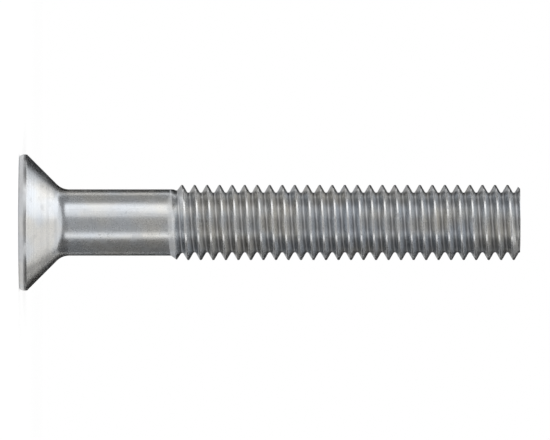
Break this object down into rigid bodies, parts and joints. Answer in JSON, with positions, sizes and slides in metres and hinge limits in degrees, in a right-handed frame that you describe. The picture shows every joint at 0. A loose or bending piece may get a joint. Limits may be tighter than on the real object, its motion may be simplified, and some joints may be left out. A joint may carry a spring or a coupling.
{
  "type": "countersunk screw",
  "caption": "Flat countersunk machine screw with a cross recess, a plain reduced shank under the head and a metric thread to its tip; it clamps a countersunk plate flush to a tapped part.",
  "frame": {"origin": "centre of the head's flat face, on which the screw stands", "axes": "+Z along the screw's axis from the head's face to the tip; two wings of the cross recess lie along X and two along Y"},
  "size_m": [0.0108, 0.0108, 0.04],
  "materials": {
    "zinc_plated_steel": "bright zinc plated steel, thinly passivated"
  },
  "bodies": {
    "root": {"screw": "zinc_plated_steel"}
  },
  "joints": []
}
